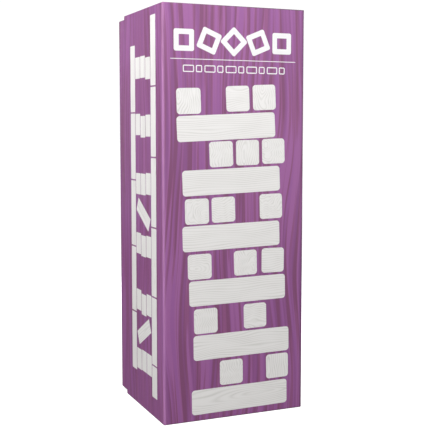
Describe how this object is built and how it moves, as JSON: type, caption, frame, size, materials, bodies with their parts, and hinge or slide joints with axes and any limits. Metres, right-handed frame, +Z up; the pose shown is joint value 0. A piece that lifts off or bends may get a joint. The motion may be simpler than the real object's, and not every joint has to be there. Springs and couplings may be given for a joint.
{
  "type": "boxed wooden block tower game",
  "caption": "Tall telescoping carton, printed purple with white block shapes, holding a crosswise stack of large wooden tower blocks and a folded leaflet.",
  "frame": {"origin": "centre of the footprint, on the surface that the carton stands on", "axes": "+Z up along the carton's height, -Y out of the lid's printed front panel, +X to the right seen from the front"},
  "size_m": [0.19, 0.1792, 0.508],
  "materials": {
    "printed_paper": "satin",
    "greyboard": "matte",
    "block_wood": "matte",
    "leaflet_paper": "matte"
  },
  "bodies": {
    "tray": {"tray_board": "greyboard", "tray_wrap": "printed_paper"},
    "lid": {"lid_board": "greyboard", "lid_wrap": "printed_paper"},
    "leaflet": {"rules_leaflet": "leaflet_paper"},
    "block_01_left": {"block_01_left": "block_wood"},
    "block_01_middle": {"block_01_middle": "block_wood"},
    "block_01_right": {"block_01_right": "block_wood"},
    "block_02_front": {"block_02_front": "block_wood"},
    "block_02_middle": {"block_02_middle": "block_wood"},
    "block_02_rear": {"block_02_rear": "block_wood"},
    "block_03_left": {"block_03_left": "block_wood"},
    "block_03_middle": {"block_03_middle": "block_wood"},
    "block_03_right": {"block_03_right": "block_wood"},
    "block_04_front": {"block_04_front": "block_wood"},
    "block_04_middle": {"block_04_middle": "block_wood"},
    "block_04_rear": {"block_04_rear": "block_wood"},
    "block_05_left": {"block_05_left": "block_wood"},
    "block_05_middle": {"block_05_middle": "block_wood"},
    "block_05_right": {"block_05_right": "block_wood"},
    "block_06_front": {"block_06_front": "block_wood"},
    "block_06_middle": {"block_06_middle": "block_wood"},
    "block_06_rear": {"block_06_rear": "block_wood"},
    "block_07_left": {"block_07_left": "block_wood"},
    "block_07_middle": {"block_07_middle": "block_wood"},
    "block_07_right": {"block_07_right": "block_wood"},
    "block_08_front": {"block_08_front": "block_wood"},
    "block_08_middle": {"block_08_middle": "block_wood"},
    "block_08_rear": {"block_08_rear": "block_wood"},
    "block_09_left": {"block_09_left": "block_wood"},
    "block_09_middle": {"block_09_middle": "block_wood"},
    "block_09_right": {"block_09_right": "block_wood"},
    "block_10_front": {"block_10_front": "block_wood"},
    "block_10_middle": {"block_10_middle": "block_wood"},
    "block_10_rear": {"block_10_rear": "block_wood"},
    "block_11_left": {"block_11_left": "block_wood"},
    "block_11_middle": {"block_11_middle": "block_wood"},
    "block_11_right": {"block_11_right": "block_wood"},
    "block_12_front": {"block_12_front": "block_wood"},
    "block_12_middle": {"block_12_middle": "block_wood"},
    "block_12_rear": {"block_12_rear": "block_wood"},
    "block_13_left": {"block_13_left": "block_wood"},
    "block_13_middle": {"block_13_middle": "block_wood"},
    "block_13_right": {"block_13_right": "block_wood"},
    "block_14_front": {"block_14_front": "block_wood"},
    "block_14_middle": {"block_14_middle": "block_wood"},
    "block_14_rear": {"block_14_rear": "block_wood"},
    "block_15_left": {"block_15_left": "block_wood"},
    "block_15_middle": {"block_15_middle": "block_wood"},
    "block_15_right": {"block_15_right": "block_wood"},
    "block_16_front": {"block_16_front": "block_wood"},
    "block_16_middle": {"block_16_middle": "block_wood"},
    "block_16_rear": {"block_16_rear": "block_wood"},
    "block_17_left": {"block_17_left": "block_wood"},
    "block_17_middle": {"block_17_middle": "block_wood"},
    "block_17_right": {"block_17_right": "block_wood"},
    "block_18_front": {"block_18_front": "block_wood"},
    "block_18_middle": {"block_18_middle": "block_wood"},
    "block_18_rear": {"block_18_rear": "block_wood"}
  },
  "joints": [
    {"name": "lid_slide", "type": "slide", "parent": "tray", "child": "lid", "axis": [0, -1, 0], "range_m": [0, 0.5]},
    {"name": "leaflet_slide", "type": "slide", "parent": "tray", "child": "leaflet", "axis": [0, -1, 0], "range_m": [0, 0.42]},
    {"name": "block_01_left_slide", "type": "slide", "parent": "tray", "child": "block_01_left", "axis": [0, -1, 0], "range_m": [0, 0.175]},
    {"name": "block_01_middle_slide", "type": "slide", "parent": "tray", "child": "block_01_middle", "axis": [0, -1, 0], "range_m": [0, 0.175]},
    {"name": "block_01_right_slide", "type": "slide", "parent": "tray", "child": "block_01_right", "axis": [0, -1, 0], "range_m": [0, 0.175]},
    {"name": "block_02_front_slide", "type": "slide", "parent": "tray", "child": "block_02_front", "axis": [0, -1, 0], "range_m": [0, 0.175]},
    {"name": "block_02_middle_slide", "type": "slide", "parent": "tray", "child": "block_02_middle", "axis": [0, -1, 0], "range_m": [0, 0.175]},
    {"name": "block_02_rear_slide", "type": "slide", "parent": "tray", "child": "block_02_rear", "axis": [0, -1, 0], "range_m": [0, 0.175]},
    {"name": "block_03_left_slide", "type": "slide", "parent": "tray", "child": "block_03_left", "axis": [0, -1, 0], "range_m": [0, 0.29]},
    {"name": "block_03_middle_slide", "type": "slide", "parent": "tray", "child": "block_03_middle", "axis": [0, -1, 0], "range_m": [0, 0.175]},
    {"name": "block_03_right_slide", "type": "slide", "parent": "tray", "child": "block_03_right", "axis": [0, -1, 0], "range_m": [0, 0.175]},
    {"name": "block_04_front_slide", "type": "slide", "parent": "tray", "child": "block_04_front", "axis": [0, -1, 0], "range_m": [0, 0.175]},
    {"name": "block_04_middle_slide", "type": "slide", "parent": "tray", "child": "block_04_middle", "axis": [0, -1, 0], "range_m": [0, 0.175]},
    {"name": "block_04_rear_slide", "type": "slide", "parent": "tray", "child": "block_04_rear", "axis": [0, -1, 0], "range_m": [0, 0.175]},
    {"name": "block_05_left_slide", "type": "slide", "parent": "tray", "child": "block_05_left", "axis": [0, -1, 0], "range_m": [0, 0.175]},
    {"name": "block_05_middle_slide", "type": "slide", "parent": "tray", "child": "block_05_middle", "axis": [0, -1, 0], "range_m": [0, 0.29]},
    {"name": "block_05_right_slide", "type": "slide", "parent": "tray", "child": "block_05_right", "axis": [0, -1, 0], "range_m": [0, 0.175]},
    {"name": "block_06_front_slide", "type": "slide", "parent": "tray", "child": "block_06_front", "axis": [0, -1, 0], "range_m": [0, 0.175]},
    {"name": "block_06_middle_slide", "type": "slide", "parent": "tray", "child": "block_06_middle", "axis": [0, -1, 0], "range_m": [0, 0.175]},
    {"name": "block_06_rear_slide", "type": "slide", "parent": "tray", "child": "block_06_rear", "axis": [0, -1, 0], "range_m": [0, 0.175]},
    {"name": "block_07_left_slide", "type": "slide", "parent": "tray", "child": "block_07_left", "axis": [0, -1, 0], "range_m": [0, 0.175]},
    {"name": "block_07_middle_slide", "type": "slide", "parent": "tray", "child": "block_07_middle", "axis": [0, -1, 0], "range_m": [0, 0.175]},
    {"name": "block_07_right_slide", "type": "slide", "parent": "tray", "child": "block_07_right", "axis": [0, -1, 0], "range_m": [0, 0.29]},
    {"name": "block_08_front_slide", "type": "slide", "parent": "tray", "child": "block_08_front", "axis": [0, -1, 0], "range_m": [0, 0.175]},
    {"name": "block_08_middle_slide", "type": "slide", "parent": "tray", "child": "block_08_middle", "axis": [0, -1, 0], "range_m": [0, 0.175]},
    {"name": "block_08_rear_slide", "type": "slide", "parent": "tray", "child": "block_08_rear", "axis": [0, -1, 0], "range_m": [0, 0.175]},
    {"name": "block_09_left_slide", "type": "slide", "parent": "tray", "child": "block_09_left", "axis": [0, -1, 0], "range_m": [0, 0.175]},
    {"name": "block_09_middle_slide", "type": "slide", "parent": "tray", "child": "block_09_middle", "axis": [0, -1, 0], "range_m": [0, 0.29]},
    {"name": "block_09_right_slide", "type": "slide", "parent": "tray", "child": "block_09_right", "axis": [0, -1, 0], "range_m": [0, 0.175]},
    {"name": "block_10_front_slide", "type": "slide", "parent": "tray", "child": "block_10_front", "axis": [0, -1, 0], "range_m": [0, 0.175]},
    {"name": "block_10_middle_slide", "type": "slide", "parent": "tray", "child": "block_10_middle", "axis": [0, -1, 0], "range_m": [0, 0.175]},
    {"name": "block_10_rear_slide", "type": "slide", "parent": "tray", "child": "block_10_rear", "axis": [0, -1, 0], "range_m": [0, 0.175]},
    {"name": "block_11_left_slide", "type": "slide", "parent": "tray", "child": "block_11_left", "axis": [0, -1, 0], "range_m": [0, 0.29]},
    {"name": "block_11_middle_slide", "type": "slide", "parent": "tray", "child": "block_11_middle", "axis": [0, -1, 0], "range_m": [0, 0.175]},
    {"name": "block_11_right_slide", "type": "slide", "parent": "tray", "child": "block_11_right", "axis": [0, -1, 0], "range_m": [0, 0.175]},
    {"name": "block_12_front_slide", "type": "slide", "parent": "tray", "child": "block_12_front", "axis": [0, -1, 0], "range_m": [0, 0.175]},
    {"name": "block_12_middle_slide", "type": "slide", "parent": "tray", "child": "block_12_middle", "axis": [0, -1, 0], "range_m": [0, 0.175]},
    {"name": "block_12_rear_slide", "type": "slide", "parent": "tray", "child": "block_12_rear", "axis": [0, -1, 0], "range_m": [0, 0.175]},
    {"name": "block_13_left_slide", "type": "slide", "parent": "tray", "child": "block_13_left", "axis": [0, -1, 0], "range_m": [0, 0.175]},
    {"name": "block_13_middle_slide", "type": "slide", "parent": "tray", "child": "block_13_middle", "axis": [0, -1, 0], "range_m": [0, 0.175]},
    {"name": "block_13_right_slide", "type": "slide", "parent": "tray", "child": "block_13_right", "axis": [0, -1, 0], "range_m": [0, 0.29]},
    {"name": "block_14_front_slide", "type": "slide", "parent": "tray", "child": "block_14_front", "axis": [0, -1, 0], "range_m": [0, 0.175]},
    {"name": "block_14_middle_slide", "type": "slide", "parent": "tray", "child": "block_14_middle", "axis": [0, -1, 0], "range_m": [0, 0.175]},
    {"name": "block_14_rear_slide", "type": "slide", "parent": "tray", "child": "block_14_rear", "axis": [0, -1, 0], "range_m": [0, 0.175]},
    {"name": "block_15_left_slide", "type": "slide", "parent": "tray", "child": "block_15_left", "axis": [0, -1, 0], "range_m": [0, 0.175]},
    {"name": "block_15_middle_slide", "type": "slide", "parent": "tray", "child": "block_15_middle", "axis": [0, -1, 0], "range_m": [0, 0.29]},
    {"name": "block_15_right_slide", "type": "slide", "parent": "tray", "child": "block_15_right", "axis": [0, -1, 0], "range_m": [0, 0.175]},
    {"name": "block_16_front_slide", "type": "slide", "parent": "tray", "child": "block_16_front", "axis": [0, -1, 0], "range_m": [0, 0.175]},
    {"name": "block_16_middle_slide", "type": "slide", "parent": "tray", "child": "block_16_middle", "axis": [0, -1, 0], "range_m": [0, 0.175]},
    {"name": "block_16_rear_slide", "type": "slide", "parent": "tray", "child": "block_16_rear", "axis": [0, -1, 0], "range_m": [0, 0.175]},
    {"name": "block_17_left_slide", "type": "slide", "parent": "tray", "child": "block_17_left", "axis": [0, -1, 0], "range_m": [0, 0.29]},
    {"name": "block_17_middle_slide", "type": "slide", "parent": "tray", "child": "block_17_middle", "axis": [0, -1, 0], "range_m": [0, 0.175]},
    {"name": "block_17_right_slide", "type": "slide", "parent": "tray", "child": "block_17_right", "axis": [0, -1, 0], "range_m": [0, 0.175]},
    {"name": "block_18_front_slide", "type": "slide", "parent": "tray", "child": "block_18_front", "axis": [0, -1, 0], "range_m": [0, 0.175]},
    {"name": "block_18_middle_slide", "type": "slide", "parent": "tray", "child": "block_18_middle", "axis": [0, -1, 0], "range_m": [0, 0.175]},
    {"name": "block_18_rear_slide", "type": "slide", "parent": "tray", "child": "block_18_rear", "axis": [0, -1, 0], "range_m": [0, 0.175]}
  ],
  "couplings": [
    {"joint": "leaflet_slide", "follows": "lid_slide", "ratio": 0.84},
    {"joint": "block_01_left_slide", "follows": "lid_slide", "ratio": 0.35},
    {"joint": "block_01_middle_slide", "follows": "lid_slide", "ratio": 0.35},
    {"joint": "block_01_right_slide", "follows": "lid_slide", "ratio": 0.35},
    {"joint": "block_02_front_slide", "follows": "lid_slide", "ratio": 0.35},
    {"joint": "block_02_middle_slide", "follows": "lid_slide", "ratio": 0.35},
    {"joint": "block_02_rear_slide", "follows": "lid_slide", "ratio": 0.35},
    {"joint": "block_03_left_slide", "follows": "lid_slide", "ratio": 0.58},
    {"joint": "block_03_middle_slide", "follows": "lid_slide", "ratio": 0.35},
    {"joint": "block_03_right_slide", "follows": "lid_slide", "ratio": 0.35},
    {"joint": "block_04_front_slide", "follows": "lid_slide", "ratio": 0.35},
    {"joint": "block_04_middle_slide", "follows": "lid_slide", "ratio": 0.35},
    {"joint": "block_04_rear_slide", "follows": "lid_slide", "ratio": 0.35},
    {"joint": "block_05_left_slide", "follows": "lid_slide", "ratio": 0.35},
    {"joint": "block_05_middle_slide", "follows": "lid_slide", "ratio": 0.58},
    {"joint": "block_05_right_slide", "follows": "lid_slide", "ratio": 0.35},
    {"joint": "block_06_front_slide", "follows": "lid_slide", "ratio": 0.35},
    {"joint": "block_06_middle_slide", "follows": "lid_slide", "ratio": 0.35},
    {"joint": "block_06_rear_slide", "follows": "lid_slide", "ratio": 0.35},
    {"joint": "block_07_left_slide", "follows": "lid_slide", "ratio": 0.35},
    {"joint": "block_07_middle_slide", "follows": "lid_slide", "ratio": 0.35},
    {"joint": "block_07_right_slide", "follows": "lid_slide", "ratio": 0.58},
    {"joint": "block_08_front_slide", "follows": "lid_slide", "ratio": 0.35},
    {"joint": "block_08_middle_slide", "follows": "lid_slide", "ratio": 0.35},
    {"joint": "block_08_rear_slide", "follows": "lid_slide", "ratio": 0.35},
    {"joint": "block_09_left_slide", "follows": "lid_slide", "ratio": 0.35},
    {"joint": "block_09_middle_slide", "follows": "lid_slide", "ratio": 0.58},
    {"joint": "block_09_right_slide", "follows": "lid_slide", "ratio": 0.35},
    {"joint": "block_10_front_slide", "follows": "lid_slide", "ratio": 0.35},
    {"joint": "block_10_middle_slide", "follows": "lid_slide", "ratio": 0.35},
    {"joint": "block_10_rear_slide", "follows": "lid_slide", "ratio": 0.35},
    {"joint": "block_11_left_slide", "follows": "lid_slide", "ratio": 0.58},
    {"joint": "block_11_middle_slide", "follows": "lid_slide", "ratio": 0.35},
    {"joint": "block_11_right_slide", "follows": "lid_slide", "ratio": 0.35},
    {"joint": "block_12_front_slide", "follows": "lid_slide", "ratio": 0.35},
    {"joint": "block_12_middle_slide", "follows": "lid_slide", "ratio": 0.35},
    {"joint": "block_12_rear_slide", "follows": "lid_slide", "ratio": 0.35},
    {"joint": "block_13_left_slide", "follows": "lid_slide", "ratio": 0.35},
    {"joint": "block_13_middle_slide", "follows": "lid_slide", "ratio": 0.35},
    {"joint": "block_13_right_slide", "follows": "lid_slide", "ratio": 0.58},
    {"joint": "block_14_front_slide", "follows": "lid_slide", "ratio": 0.35},
    {"joint": "block_14_middle_slide", "follows": "lid_slide", "ratio": 0.35},
    {"joint": "block_14_rear_slide", "follows": "lid_slide", "ratio": 0.35},
    {"joint": "block_15_left_slide", "follows": "lid_slide", "ratio": 0.35},
    {"joint": "block_15_middle_slide", "follows": "lid_slide", "ratio": 0.58},
    {"joint": "block_15_right_slide", "follows": "lid_slide", "ratio": 0.35},
    {"joint": "block_16_front_slide", "follows": "lid_slide", "ratio": 0.35},
    {"joint": "block_16_middle_slide", "follows": "lid_slide", "ratio": 0.35},
    {"joint": "block_16_rear_slide", "follows": "lid_slide", "ratio": 0.35},
    {"joint": "block_17_left_slide", "follows": "lid_slide", "ratio": 0.58},
    {"joint": "block_17_middle_slide", "follows": "lid_slide", "ratio": 0.35},
    {"joint": "block_17_right_slide", "follows": "lid_slide", "ratio": 0.35},
    {"joint": "block_18_front_slide", "follows": "lid_slide", "ratio": 0.35},
    {"joint": "block_18_middle_slide", "follows": "lid_slide", "ratio": 0.35},
    {"joint": "block_18_rear_slide", "follows": "lid_slide", "ratio": 0.35}
  ]
}
